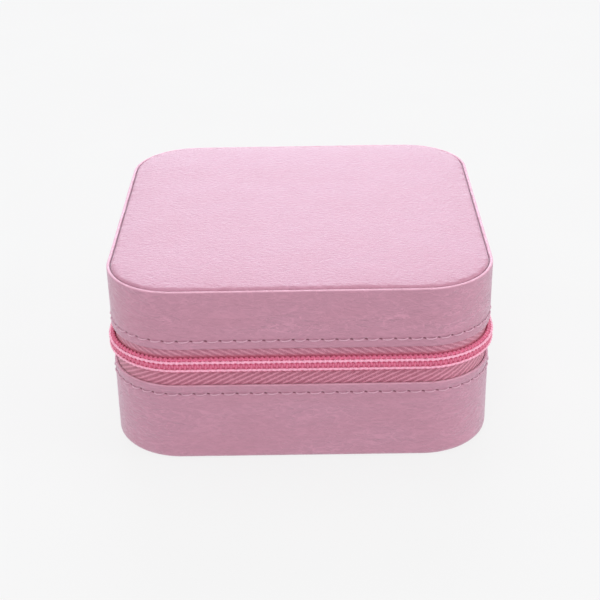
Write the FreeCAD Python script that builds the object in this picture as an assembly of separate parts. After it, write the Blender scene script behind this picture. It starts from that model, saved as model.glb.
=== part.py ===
"""Zip-round leather jewellery case: a padded, leather-covered lid hinged to a leather-covered base,
closed by a nylon coil zip, with a velvet-lined tray of ring rolls and compartments.

Millimetres. The origin is the centre of the underside, +Z is up, the front faces -Y and the hinge is at +Y.
Every wall layer follows one rounded-square outline, moved inwards by that layer's inset.
"""

import FreeCAD, Part
import math
import os

from FreeCAD import Vector

# ---------------------------------------------------------------- driving dimensions
WIDTH = 100.0  # over the leather, side to side
DEPTH = 100.0  # over the leather, front to back
HEIGHT = 50.0  # to the crown of the padded top
CORNER = 18.5  # corner radius of the outline
BASE_EDGE = 22.3  # upper edge of the base's leather band
LID_EDGE = 33.0  # lower edge of the lid's leather band
LID_RIM = 49.3  # upper edge of the lid's leather band
LEATHER = 0.9
TAPE = 0.6
BOARD = 2.2
LINER = 1.2
LINING = 0.8
SEAM_MARGIN = 6.0  # how far a tape runs in behind the leather

# ---------------------------------------------------------------- insets of the layers from the outline
TAPE_OUT = LEATHER
TAPE_IN = LEATHER + TAPE
BOARD_IN = LEATHER + BOARD
LINER_IN = BOARD_IN + LINER
CAVITY = LINER_IN  # the lined space inside

# ---------------------------------------------------------------- heights
BAND_FOOT = 0.4  # the band stops just short of the ground
EDGE_SETBACK = 0.6  # the boards stop short of the leather's edges
FLOOR = LEATHER + BOARD + LINING  # top of the velvet floor
LID_PLATE_TOP = 47.2
LID_PLATE_LOW = LID_PLATE_TOP - BOARD
CEILING = LID_PLATE_LOW - LINING  # underside of the lid's velvet ceiling
LINER_MEET = (BASE_EDGE + LID_EDGE) / 2  # the two liner walls meet behind the zip
LINER_GAP = 0.6

# ---------------------------------------------------------------- zip
ZIP_LINE = 28.4  # height at which the two coil rows meet
ROW_GAP = 1.2  # between the two coil rows
ROW_WIDTH = 1.4
ROW_HEIGHT = 1.7  # how far a coil row stands off its tape
SPINE_HALF = 33.0  # half the width of the leather hinge strip
CHAIN_END_Y = 29.5  # the teeth stop here on the right side, in front of the top stops
STOP = 1.7  # length of a top stop
STOP_HEIGHT = 1.4  # how far a top stop stands off its tape

# ---------------------------------------------------------------- slider, at the closed end of the zip
SLIDER_Y = 24.2
SLIDER_HALF = 5.0  # half its length
SLIDER_NOSE_HALF = 3.5
SLIDER_TAIL_HALF = 3.0
PLATE = 0.9
PLATE_CORNER = 1.2
TAPE_CLEARANCE = 0.25  # between the slider's plates and the tape and coil
LIP = 0.6  # thickness of the flange that runs along the lower coil row
LIP_CLEARANCE = 0.4
POST = 0.8  # thickness of the post between the rows, at the nose
POST_LENGTH = 2.6
CROWN_RADIUS = 0.5  # radius of the crown's round bar
CROWN_HALF = 3.1
LINK_CLEARANCE = 0.35
LINK_BEND = 1.4
LINK_WIRE = 0.55
LINK_LEG = 3.8
TAB_THICK = 1.0
TAB_EYE = 1.6
TAB_WALL = 1.05  # round the eye
TAB_LENGTH = 12.0
TAB_END = 2.9  # radius of the broad end

# ---------------------------------------------------------------- stitching
STITCH_INSET = 2.4  # from the leather's edge
STITCH_PITCH = 3.6
STITCH_LENGTH = 2.7
THREAD_RADIUS = 0.22

# ---------------------------------------------------------------- tray
PARTITION_X = -6.8
PARTITION = 1.6
PARTITION_TOP = 21.5
ROLLS = 7
ROLL_GAP = 0.3
ROLL_HEIGHT = 15.0
DIVIDER_Y = 15.2
DIVIDER = 1.8
DIVIDER_TOP = 20.9
PLAY = 0.3  # around each removable divider

# ---------------------------------------------------------------- inside the lid
STRIP_HALF = 31.0
STRIP_Y0, STRIP_Y1 = -42.0, -34.0
STRIP = 1.0
HOOK_XS = (-21.0, 0.0, 21.0)
HOOK_ROOT_Y = -36.4
HOOK_TIP_Y = -18.6
HOOK_HALF = 3.6
HOOK_THICK = 0.8
HOOK_TOP = CEILING - 1.4  # the face of a closed hook strap that looks at the ceiling
SNAP_Y = -22.4
SNAP_RADIUS = 3.0
STUD_RADIUS = 2.2
POCKET_Y0, POCKET_Y1 = -7.0, 44.0
POCKET_HALF = 41.0
POCKET_DROP = 6.6
POCKET_WALL = 1.0
POCKET_INSET = CAVITY + 0.3
ELASTIC = 4.0  # width of the elastic band along the pocket's mouth

Z_AXIS = Vector(0, 0, 1)
Y_AXIS = Vector(0, 1, 0)


# ---------------------------------------------------------------- shape helpers
def outline(inset, z):
    """The case's rounded-square outline, moved inwards by inset, as a closed wire at height z."""
    a, b, r = WIDTH / 2 - inset, DEPTH / 2 - inset, CORNER - inset
    d = r * (1 - math.sqrt(0.5))
    corners = []
    for sx, sy in ((1, 1), (-1, 1), (-1, -1), (1, -1)):
        on_side, on_end = Vector(sx * a, sy * (b - r), z), Vector(sx * (a - r), sy * b, z)
        middle = Vector(sx * (a - d), sy * (b - d), z)
        corners.append((on_side, middle, on_end) if sx * sy > 0 else (on_end, middle, on_side))
    curves = []
    for i, (start, middle, end) in enumerate(corners):
        curves.append(Part.Arc(start, middle, end).toShape())
        curves.append(Part.LineSegment(end, corners[(i + 1) % 4][0]).toShape())
    return Part.Wire(curves)


def prism(inset, z0, z1):
    return Part.Face(outline(inset, z0)).extrude(Vector(0, 0, z1 - z0))


def ring(outer, inner, z0, z1):
    """A wall between two insets of the outline."""
    return prism(outer, z0, z1).cut(prism(inner, z0 - 1, z1 + 1))


def block(x0, x1, y0, y1, z0, z1):
    return Part.makeBox(x1 - x0, y1 - y0, z1 - z0, Vector(x0, y0, z0))


def back_zone(half):
    """The space behind the case's middle, as wide as the hinge strip."""
    return block(-half, half, 0, DEPTH, 0, HEIGHT)


def beyond_chain():
    """The right-hand back corner, where the zip has bare tape and no teeth."""
    return block(0, WIDTH, CHAIN_END_Y, DEPTH, 0, HEIGHT)


def round_edges(shape, radius, wanted):
    """The shape with every edge rounded for which wanted(edge) is true."""
    return shape.makeFillet(radius, [e for e in shape.Edges if wanted(e)])


def at_height(z):
    return lambda e: abs(e.BoundBox.ZMin - z) < 1e-4 and abs(e.BoundBox.ZMax - z) < 1e-4


def is_upright(edge, length):
    return abs(edge.BoundBox.ZLength - length) < 1e-4


def cylinder(radius, start, end):
    return Part.makeCylinder(radius, (end - start).Length, start, end - start)


# ---------------------------------------------------------------- covering and boards
def lid_band():
    band = ring(0, LEATHER, LID_EDGE, LID_RIM)
    return round_edges(band, 0.4, lambda e: at_height(LID_RIM)(e) or at_height(LID_EDGE)(e))


def base_band():
    band = ring(0, LEATHER, BAND_FOOT, BASE_EDGE)
    return round_edges(band, 0.4, lambda e: at_height(BASE_EDGE)(e) or at_height(BAND_FOOT)(e))


def base_bottom():
    return prism(LEATHER, 0, LEATHER)


def tape_pocket(z0, z1):
    """The rebate that a board needs behind a tape or the hinge strip."""
    return ring(-1, TAPE_IN, z0, z1)


def base_board():
    top = BASE_EDGE - EDGE_SETBACK
    shell = prism(LEATHER, LEATHER, top).cut(prism(BOARD_IN, LEATHER + BOARD, top + 1))
    return shell.cut(tape_pocket(BASE_EDGE - SEAM_MARGIN, top + 1))


def lid_board():
    low = LID_EDGE + EDGE_SETBACK
    shell = prism(LEATHER, low, LID_PLATE_TOP).cut(prism(BOARD_IN, low - 1, LID_PLATE_LOW))
    return shell.cut(tape_pocket(low - 1, LID_EDGE + SEAM_MARGIN))


TOP_INSET = LEATHER + 0.2
FOAM_INSET = TOP_INSET + LEATHER
FOAM_TOP = HEIGHT - LEATHER


def lid_foam():
    pad = prism(FOAM_INSET, LID_PLATE_TOP, FOAM_TOP)
    return round_edges(pad, 1.3, at_height(FOAM_TOP))


def lid_top():
    cover = round_edges(prism(TOP_INSET, LID_PLATE_TOP, HEIGHT), 1.9, at_height(HEIGHT))
    return cover.cut(lid_foam())


# ---------------------------------------------------------------- hinge strip
def hinge_strip():
    strip = ring(TAPE_OUT, TAPE_IN, BASE_EDGE - SEAM_MARGIN, LID_EDGE + SEAM_MARGIN)
    return strip.common(back_zone(SPINE_HALF))


def hinge_facing():
    facing = ring(TAPE_IN, TAPE_IN + 0.5, BASE_EDGE, LID_EDGE)
    return facing.common(back_zone(SPINE_HALF - 1.5))


# ---------------------------------------------------------------- zip
LOW_ROW = ZIP_LINE - ROW_GAP / 2  # upper side of the lower coil row
HIGH_ROW = ZIP_LINE + ROW_GAP / 2


def tape(z0, z1):
    return ring(TAPE_OUT, TAPE_IN, z0, z1).cut(back_zone(SPINE_HALF))


def coil(z0, z1):
    row = ring(TAPE_OUT - ROW_HEIGHT, TAPE_OUT, z0, z1)
    row = round_edges(row, 0.6, lambda e: e.BoundBox.ZLength < 1e-4 and outside(e))
    return row.cut(back_zone(SPINE_HALF)).cut(beyond_chain())


def outside(edge):
    """Whether a level edge lies on the outermost face of a coil row."""
    p = edge.valueAt((edge.FirstParameter + edge.LastParameter) / 2)
    a, b, r = WIDTH / 2 - CORNER, DEPTH / 2 - CORNER, CORNER + ROW_HEIGHT - TAPE_OUT
    away = math.hypot(max(abs(p.x) - a, 0), max(abs(p.y) - b, 0))
    return abs(away - r) < 1e-3


def top_stop(z0, z1):
    """A moulded stop on the edge of one tape, just past the last tooth."""
    face = WIDTH / 2 - TAPE_OUT
    y0 = CHAIN_END_Y + 0.1
    stop = block(face, face + STOP_HEIGHT, y0, y0 + STOP, z0, z1)
    return round_edges(stop, 0.4, lambda e: e.BoundBox.XMin > face + STOP_HEIGHT - 0.1)


SLIDER_OUT = WIDTH / 2 - TAPE_OUT + ROW_HEIGHT + TAPE_CLEARANCE  # inner face of the outer plate
SLIDER_IN = WIDTH / 2 - TAPE_IN - TAPE_CLEARANCE  # outer face of the inner plate
CROWN_X = SLIDER_OUT + PLATE + LINK_BEND + LINK_WIRE + LINK_CLEARANCE


def slider_plate(x0, x1):
    """One of the slider's two plates: wide at the nose, narrow at the tail."""
    tail, nose, shoulder = SLIDER_Y - SLIDER_HALF, SLIDER_Y + SLIDER_HALF, SLIDER_Y + 1.0
    corners = [
        (tail, -SLIDER_TAIL_HALF), (shoulder, -SLIDER_NOSE_HALF), (nose, -SLIDER_NOSE_HALF),
        (nose, SLIDER_NOSE_HALF), (shoulder, SLIDER_NOSE_HALF), (tail, SLIDER_TAIL_HALF),
    ]
    points = [Vector(x0, y, ZIP_LINE + z) for y, z in corners]
    plate = Part.Face(Part.makePolygon(points + points[:1])).extrude(Vector(x1 - x0, 0, 0))
    return round_edges(plate, PLATE_CORNER, lambda e: abs(e.BoundBox.XLength - (x1 - x0)) < 1e-4)


def slider():
    outer = slider_plate(SLIDER_OUT, SLIDER_OUT + PLATE)
    inner = slider_plate(SLIDER_IN - PLATE, SLIDER_IN)
    post_end = SLIDER_Y + SLIDER_HALF - 0.3
    post = block(SLIDER_IN - PLATE / 2, SLIDER_OUT + PLATE / 2, post_end - POST_LENGTH, post_end,
                 ZIP_LINE - POST / 2, ZIP_LINE + POST / 2)
    lip_top = LOW_ROW - ROW_WIDTH - LIP_CLEARANCE
    lip = block(WIDTH / 2 - TAPE_OUT + TAPE_CLEARANCE, SLIDER_OUT + PLATE / 2, SLIDER_Y - SLIDER_HALF + 1,
                SLIDER_Y + SLIDER_HALF - 1, lip_top - LIP, lip_top)
    bar_ends = [Vector(CROWN_X, SLIDER_Y + s * CROWN_HALF, ZIP_LINE) for s in (-1, 1)]
    crown = cylinder(CROWN_RADIUS, bar_ends[0], bar_ends[1])
    for end in bar_ends:
        foot = Vector(SLIDER_OUT + PLATE / 2, end.y, end.z)
        crown = crown.fuse([cylinder(CROWN_RADIUS, foot, end), Part.makeSphere(CROWN_RADIUS, end)])
    return outer.fuse([inner, post, lip, crown]).removeSplitter()


def pull_link():
    """A narrow oval link round the crown's bar, hanging from it."""
    top = Vector(CROWN_X, SLIDER_Y, ZIP_LINE)
    low = top - Vector(0, 0, LINK_LEG)
    shape = None
    for centre, side in ((top, 1), (low, -1)):
        start = centre + Vector(side * LINK_BEND, 0, 0)
        wire = Part.Wire(Part.makeCircle(LINK_WIRE, start, Z_AXIS))
        section = Part.Face(wire)
        bend = section.revolve(centre, -Y_AXIS, 180)
        leg = section.extrude(Vector(0, 0, -side * LINK_LEG))
        shape = bend.fuse(leg) if shape is None else shape.fuse([bend, leg])
    return shape.removeSplitter()


TAB_PIVOT_Z = ZIP_LINE - LINK_LEG - LINK_BEND
TAB_EYE_Z = TAB_PIVOT_Z - LINK_WIRE


def pull_tab():
    """A flat drop-shaped tab that hangs from the link through its eye."""
    x0 = CROWN_X - TAB_THICK / 2
    high, low = Vector(x0, SLIDER_Y, TAB_EYE_Z), Vector(x0, SLIDER_Y, TAB_EYE_Z - TAB_LENGTH)
    r_high, r_low = TAB_EYE + TAB_WALL, TAB_END
    through = Vector(TAB_THICK, 0, 0)
    lean = math.asin((r_low - r_high) / TAB_LENGTH)
    sides = []
    for s in (1, -1):
        for centre, r in ((high, r_high), (low, r_low)):
            sides.append(centre + Vector(0, s * r * math.cos(lean), r * math.sin(lean)))
    waist = Part.Face(Part.makePolygon([sides[0], sides[1], sides[3], sides[2], sides[0]]))
    tab = waist.extrude(through)
    tab = tab.fuse([cylinder(r_high, high, high + through), cylinder(r_low, low, low + through)])
    tab = tab.removeSplitter().cut(cylinder(TAB_EYE, high - through, high + through * 2))
    return round_edges(tab, 0.25, lambda e: e.BoundBox.XLength < 1e-4 and e.BoundBox.ZMin < TAB_EYE_Z - 3)


# ---------------------------------------------------------------- stitching
def along(distance):
    """The point and the heading that far round the outline, from the middle of the front."""
    a, b, arc = WIDTH / 2 - CORNER, DEPTH / 2 - CORNER, CORNER * math.pi / 2
    place, turned = Vector(0, -DEPTH / 2, 0), 0.0
    for run, is_arc in ((a, False), (arc, True), (2 * b, False), (arc, True), (2 * a, False),
                        (arc, True), (2 * b, False), (arc, True), (a, False)):
        step = min(distance, run)
        heading = Vector(math.cos(turned), math.sin(turned), 0)
        if is_arc:
            centre = place + Vector(-heading.y, heading.x, 0) * CORNER
            turned += step / CORNER
            heading = Vector(math.cos(turned), math.sin(turned), 0)
            place = centre + Vector(heading.y, -heading.x, 0) * CORNER
        else:
            place = place + heading * step
        distance -= step
        if distance <= 0:
            break
    return place, heading


def stitching(z):
    """One row of thread stitches round the outside, each lying on the leather."""
    around = 4 * (WIDTH / 2 - CORNER) + 4 * (DEPTH / 2 - CORNER) + 2 * math.pi * CORNER
    count = round(around / STITCH_PITCH)
    stitches = []
    for i in range(count):
        point, heading = along((i + 0.5) * around / count)
        outward = Vector(heading.y, -heading.x, 0)
        middle = point + outward * (THREAD_RADIUS + 0.01) + Vector(0, 0, z)
        half = heading * (STITCH_LENGTH / 2)
        stitches.append(cylinder(THREAD_RADIUS, middle - half, middle + half))
    return Part.makeCompound(stitches)


# ---------------------------------------------------------------- linings and tray
def base_floor():
    return prism(BOARD_IN, LEATHER + BOARD, FLOOR)


def base_liner():
    return ring(BOARD_IN, LINER_IN, FLOOR, LINER_MEET - LINER_GAP / 2)


def lid_ceiling():
    return prism(BOARD_IN, CEILING, LID_PLATE_LOW)


def lid_liner():
    return ring(BOARD_IN, LINER_IN, LINER_MEET + LINER_GAP / 2, CEILING)


def partition():
    wall = block(PARTITION_X - PARTITION / 2, PARTITION_X + PARTITION / 2,
                 CAVITY - DEPTH / 2, DEPTH / 2 - CAVITY, FLOOR, PARTITION_TOP)
    return round_edges(wall, 0.5, at_height(PARTITION_TOP))


def ring_roll(index):
    """One foam roll of the ring holder; rings slip in between two of them."""
    inner = DEPTH - 2 * CAVITY
    pitch = inner / ROLLS
    y0 = -inner / 2 + index * pitch + ROLL_GAP / 2
    y1 = y0 + pitch - ROLL_GAP
    x0, x1 = CAVITY - WIDTH / 2, PARTITION_X - PARTITION / 2
    roll = block(x0, x1, y0, y1, FLOOR, FLOOR + ROLL_HEIGHT)
    radius = (y1 - y0) / 2 - 0.05
    top_edge = at_height(FLOOR + ROLL_HEIGHT)
    roll = round_edges(roll, radius, lambda e: top_edge(e) and e.BoundBox.YLength < 1e-4)
    return roll.common(prism(CAVITY + 0.05, FLOOR, HEIGHT))


def divider(side):
    """A loose card divider that stands across the compartments."""
    y = side * DIVIDER_Y
    card = block(PARTITION_X + PARTITION / 2 + PLAY, WIDTH / 2 - CAVITY - PLAY,
                 y - DIVIDER / 2, y + DIVIDER / 2, FLOOR + PLAY, DIVIDER_TOP)
    return round_edges(card, 0.6, at_height(DIVIDER_TOP))


# ---------------------------------------------------------------- inside the lid
def necklace_strip():
    strip = block(-STRIP_HALF, STRIP_HALF, STRIP_Y0, STRIP_Y1, CEILING - STRIP, CEILING)
    return round_edges(strip, 1.5, lambda e: is_upright(e, STRIP))


def hook_strap(x):
    strap = block(x - HOOK_HALF, x + HOOK_HALF, HOOK_ROOT_Y, HOOK_TIP_Y, HOOK_TOP - HOOK_THICK, HOOK_TOP)
    return round_edges(strap, 3.4, lambda e: is_upright(e, HOOK_THICK) and e.BoundBox.YMin > HOOK_TIP_Y - 0.1)


def snap_cap(x):
    low = HOOK_TOP - HOOK_THICK
    cap = cylinder(SNAP_RADIUS, Vector(x, SNAP_Y, low - 0.9), Vector(x, SNAP_Y, low))
    return round_edges(cap, 0.6, at_height(low - 0.9))


def snap_stud(x):
    plate = cylinder(STUD_RADIUS + 0.6, Vector(x, SNAP_Y, CEILING - 0.4), Vector(x, SNAP_Y, CEILING))
    post = cylinder(STUD_RADIUS - 0.7, Vector(x, SNAP_Y, HOOK_TOP + 0.2), Vector(x, SNAP_Y, CEILING - 0.4))
    return plate.fuse(post)


def pocket_shell(y0, y1, low):
    """A pouch wall hanging from the ceiling between y0 and y1, with no wall across its mouth."""
    outer = block(-POCKET_HALF, POCKET_HALF, y0, y1, low, CEILING)
    return outer.common(prism(POCKET_INSET, low, CEILING))


def elastic_pocket():
    """The pouch: two sides, a back and an underside, open along its front edge."""
    low, half = CEILING - POCKET_DROP, POCKET_HALF - POCKET_WALL
    hollow = block(-half, half, POCKET_Y0 - 1, POCKET_Y1 - POCKET_WALL, low + POCKET_WALL, HEIGHT)
    hollow = hollow.common(prism(POCKET_INSET + POCKET_WALL, low, HEIGHT))
    return pocket_shell(POCKET_Y0, POCKET_Y1, low).cut(hollow)


def pocket_elastic():
    """The elastic band that edges the pouch's mouth."""
    low, half = CEILING - POCKET_DROP, POCKET_HALF - POCKET_WALL
    hollow = block(-half, half, POCKET_Y0 - ELASTIC - 1, POCKET_Y0 + 1, low + POCKET_WALL, HEIGHT)
    return pocket_shell(POCKET_Y0 - ELASTIC, POCKET_Y0, low).cut(hollow)


# ---------------------------------------------------------------- all the parts
def all_parts():
    parts = {
        "base_bottom_leather": base_bottom(),
        "base_band_leather": base_band(),
        "base_board": base_board(),
        "base_floor_lining": base_floor(),
        "base_liner_wall": base_liner(),
        "base_stitching": stitching(BASE_EDGE - STITCH_INSET),
        "tray_partition": partition(),
        "leather_hinge_strip": hinge_strip(),
        "hinge_facing": hinge_facing(),
        "zip_tape_lower": tape(BASE_EDGE - SEAM_MARGIN, LOW_ROW),
        "zip_coil_lower": coil(LOW_ROW - ROW_WIDTH, LOW_ROW),
        "zip_top_stop_lower": top_stop(LOW_ROW - ROW_WIDTH, LOW_ROW),
        "lid_top_leather": lid_top(),
        "lid_foam_pad": lid_foam(),
        "lid_band_leather": lid_band(),
        "lid_board": lid_board(),
        "lid_ceiling_lining": lid_ceiling(),
        "lid_liner_wall": lid_liner(),
        "lid_stitching": stitching(LID_EDGE + STITCH_INSET),
        "zip_tape_upper": tape(HIGH_ROW, LID_EDGE + SEAM_MARGIN),
        "zip_coil_upper": coil(HIGH_ROW, HIGH_ROW + ROW_WIDTH),
        "zip_top_stop_upper": top_stop(HIGH_ROW, HIGH_ROW + ROW_WIDTH),
        "necklace_strip": necklace_strip(),
        "snap_studs": Part.makeCompound([snap_stud(x) for x in HOOK_XS]),
        "elastic_pocket": elastic_pocket(),
        "pocket_elastic": pocket_elastic(),
        "zip_slider": slider(),
        "pull_link": pull_link(),
        "pull_tab": pull_tab(),
        "divider_front": divider(-1),
        "divider_back": divider(1),
    }
    for i in range(ROLLS):
        parts[f"ring_roll_{i + 1}"] = ring_roll(i)
    for i, x in enumerate(HOOK_XS):
        parts[f"hook_strap_{i + 1}"] = hook_strap(x)
        parts[f"snap_cap_{i + 1}"] = snap_cap(x)
    return parts


def main():
    os.makedirs("parts", exist_ok=True)
    for name, shape in all_parts().items():
        shape.exportStep(f"parts/{name}.step")
        print(f"{name:22s} {len(shape.Solids):3d} solids {shape.Volume:9.1f} mm3  valid {shape.isValid()}")


main()
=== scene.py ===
import math

import bmesh
import bpy
import numpy as np
from mathutils import Matrix, Vector, noise


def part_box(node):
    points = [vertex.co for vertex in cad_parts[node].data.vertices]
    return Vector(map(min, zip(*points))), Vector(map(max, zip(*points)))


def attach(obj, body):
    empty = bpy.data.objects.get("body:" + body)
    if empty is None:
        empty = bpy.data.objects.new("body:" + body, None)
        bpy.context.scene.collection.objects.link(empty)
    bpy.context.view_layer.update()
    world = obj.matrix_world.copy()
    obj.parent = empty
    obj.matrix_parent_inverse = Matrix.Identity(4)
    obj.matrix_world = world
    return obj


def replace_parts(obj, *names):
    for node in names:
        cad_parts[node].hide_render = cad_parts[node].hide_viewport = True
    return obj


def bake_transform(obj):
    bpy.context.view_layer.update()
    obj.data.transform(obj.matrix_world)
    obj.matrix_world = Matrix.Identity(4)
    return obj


# The looks of a zip-round leather jewellery case. Every wall follows one rounded-square outline. Lengths
# are in millimetres in this script, and mesh() turns them into metres.

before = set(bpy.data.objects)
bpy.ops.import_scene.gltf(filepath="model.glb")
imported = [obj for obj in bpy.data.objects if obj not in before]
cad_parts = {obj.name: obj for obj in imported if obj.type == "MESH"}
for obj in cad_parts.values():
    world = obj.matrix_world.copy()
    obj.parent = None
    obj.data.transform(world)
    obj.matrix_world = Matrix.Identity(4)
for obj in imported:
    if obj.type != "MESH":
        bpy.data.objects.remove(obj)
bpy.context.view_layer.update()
MM = 0.001


def limits(name):
    """Lowest and highest corner of a CAD node, in millimetres."""
    low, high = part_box(name)
    return low / MM, high / MM


# ---------------------------------------------------------------- sizes read from the CAD nodes
base_band_corner = limits("base_band_leather")[1]
HALF, BASE_EDGE = base_band_corner.x, base_band_corner.z
LID_EDGE, LID_RIM = (corner.z for corner in limits("lid_band_leather"))
ZIP_LINE = (limits("zip_coil_lower")[1].z + limits("zip_coil_upper")[0].z) / 2
FLOOR = limits("base_floor_lining")[1].z
CEILING = limits("lid_ceiling_lining")[0].z
LINER_OUT = HALF - limits("base_liner_wall")[1].x
STITCH_LOW = sum(corner.z for corner in limits("base_stitching")) / 2
STITCH_HIGH = sum(corner.z for corner in limits("lid_stitching")) / 2
CHAIN_END_Y = limits("zip_top_stop_lower")[0].y - 0.1

# ---------------------------------------------------------------- sizes of the leather work
CORNER = 18.5
LEATHER = 0.9
TAPE_FACE = -LEATHER  # the tapes lie this far inside the outline
TAPE = 0.5
ROUND = 0.43  # radius of the bands' folded edges
FOOT_ROUND = 1.45  # radius of the base's bottom edge
CREASES_AT, CREASES_REACH = 40.3, 2.4  # middle and half height of the creases on the lid's band
STITCHES = 100
STITCH_LEAN = 0.22  # how much lower a stitch ends than it starts
NEEDLE_GAP = 0.45  # from a hole's middle to where its stitch dives in
HOLE_LONG, HOLE_HIGH = 0.55, 0.22
SAG = 0.24
THREAD = 0.17
TOOTH_PITCH = 48 / 37  # a whole number of teeth in the slider's travel
RIB_PITCH = 2.6
RIB_SLOPE = 0.5  # a rib's rise for each millimetre along the tape
YARN_PITCH, PICK_PITCH = 0.5, 0.42
TAPE_END = 33.0  # how far from the middle of the back the tapes end
SPINE_HALF = 34.4  # the hinge strip covers the tapes' ends
HINGE_TUCK = 3.0  # how far the strip reaches behind each band
GATHER_PITCH = 5.2

STRAIGHT = 2 * (HALF - CORNER)
ARC = CORNER * math.pi / 2
AROUND = 4 * (STRAIGHT + ARC)
STITCH_PITCH = AROUND / STITCHES
round_stations = np.linspace(-AROUND / 2, AROUND / 2, STITCHES * 10, endpoint=False)


# ---------------------------------------------------------------- the outline
def outline(distance):
    """Points on the outline and its outward directions, at distances from the middle of the front."""
    distance = np.mod(np.asarray(distance, float) + STRAIGHT / 2, AROUND)
    side = np.floor(distance / (STRAIGHT + ARC))
    run = distance - side * (STRAIGHT + ARC)
    square = side * math.pi / 2
    turned = square + np.clip(run - STRAIGHT, 0, None) / CORNER
    ahead = np.minimum(run, STRAIGHT) - STRAIGHT / 2
    x = np.cos(square) * ahead + np.sin(square) * (HALF - CORNER) + np.sin(turned) * CORNER
    y = np.sin(square) * ahead - np.cos(square) * (HALF - CORNER) - np.cos(turned) * CORNER
    return np.stack([x, y], -1), np.stack([np.sin(turned), -np.cos(turned)], -1)


def place(distance, out, high):
    """Points that far round the outline, outside it and above the ground."""
    spots, away = outline(distance)
    flat = spots + away * np.asarray(out, float)[..., None]
    return np.concatenate([flat, np.broadcast_to(high, flat.shape[:-1])[..., None]], -1)


def back_distance(x):
    """How far round the outline the point is that lies x from the middle of the back."""
    lean = math.asin(max(x - (HALF - CORNER), 0) / CORNER)
    return AROUND / 2 - min(x, HALF - CORNER) - lean * CORNER


def wave(points, size, seed=0.0):
    """Smooth noise from -1 to 1 at each point, with features about size across."""
    flat = (np.asarray(points, float) / size + seed).reshape(-1, 3)
    return np.array([noise.noise(p) for p in flat.tolist()]).reshape(np.shape(points)[:-1])


def bell(x, width):
    """1 at zero, falling smoothly to nothing a few widths away."""
    return np.exp(-(x / width) ** 2)


# ---------------------------------------------------------------- meshes
def mesh(name, points, faces, material, body, uv=None):
    """A piece from points in millimetres, riding on a body. uv has one pair per point."""
    data = bpy.data.meshes.new(name)
    points = np.asarray(points, float).reshape(-1, 3)
    data.from_pydata((points * MM).tolist(), [], [tuple(int(i) for i in f) for f in faces])
    if uv is not None:
        corners = np.zeros(len(data.loops), int)
        data.loops.foreach_get("vertex_index", corners)
        layer = data.uv_layers.new(name="run")
        layer.data.foreach_set("uv", np.asarray(uv, float).reshape(-1, 2)[corners].ravel())
    edit = bmesh.new()
    edit.from_mesh(data)
    bmesh.ops.recalc_face_normals(edit, faces=edit.faces)
    edit.to_mesh(data)
    edit.free()
    data.shade_smooth()
    return dress(bpy.data.objects.new(name, data), material, body)


def recolour(piece, material):
    """Gives a piece or a CAD node its material."""
    piece.data.materials.clear()
    piece.data.materials.append(material)


def dress(piece, material, body):
    """Links a piece, gives it its material, and hangs it on its body."""
    if piece.name not in bpy.context.scene.collection.objects:
        bpy.context.scene.collection.objects.link(piece)
    recolour(piece, material)
    if body:
        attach(piece, body)
    return piece


def grid_faces(rows, columns, wrap_rows=False, wrap_columns=False):
    """Quads over a grid of points numbered row by row."""
    i = np.arange(rows if wrap_rows else rows - 1)[:, None]
    j = np.arange(columns if wrap_columns else columns - 1)[None, :]
    i2, j2 = (i + 1) % rows, (j + 1) % columns
    quad = [i * columns + j, i * columns + j2, i2 * columns + j2, i2 * columns + j]
    return np.stack(np.broadcast_arrays(*quad), -1).reshape(-1, 4).tolist()


def cloth_faces(rows, columns):
    """Faces of a thin cloth: a grid of points for its face, the same again for its back, and its rim."""
    count = rows * columns
    face = grid_faces(rows, columns)
    back = [[i + count for i in f][::-1] for f in face]
    rim = [i * columns for i in range(rows)] + [(rows - 1) * columns + j for j in range(1, columns)]
    rim += [i * columns + columns - 1 for i in range(rows - 2, -1, -1)] + list(range(columns - 2, 0, -1))
    return face + back + [[a, b, b + count, a + count] for a, b in zip(rim, rim[1:] + rim[:1])]


def end_caps(count, size):
    """Faces that close both ends of a tube of count points whose rings have size points each."""
    return [list(range(size)), list(range(count - size, count))[::-1]]


def wall(name, profile, stations, material, body, shape=None, closed=True):
    """A wall along the outline. profile is a closed loop of (out, height). shape may move its points."""
    profile = np.asarray(profile, float)
    s, k = np.meshgrid(stations, np.arange(len(profile)), indexing="ij")
    out, high = profile[k, 0], profile[k, 1]
    if shape:
        out, high = shape(s, out, high)
    faces = grid_faces(*s.shape, wrap_rows=closed, wrap_columns=True)
    if not closed:
        faces += end_caps(s.size, len(profile))
    return mesh(name, place(s, out, high), faces, material, body, uv=np.stack([s, high], -1))


def arc(x, z, radius, start, end, steps=5):
    """Points of a round corner of a profile, from one angle to another, in degrees."""
    turns = np.radians(np.linspace(start, end, steps))
    return [(x + radius * math.cos(t), z + radius * math.sin(t)) for t in turns]


def climb(out, low, high, step, fine_at=None, fine_step=0.15, fine_half=0.75):
    """Points of a profile's upright face, closer together near fine_at."""
    levels = set(np.round(np.arange(low + step, high, step), 3))
    if fine_at is not None:
        levels = {z for z in levels if abs(z - fine_at) > fine_half}
        levels |= set(np.round(np.arange(fine_at - fine_half, fine_at + fine_half, fine_step), 3))
    return [(out, z) for z in sorted(levels)]


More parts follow.
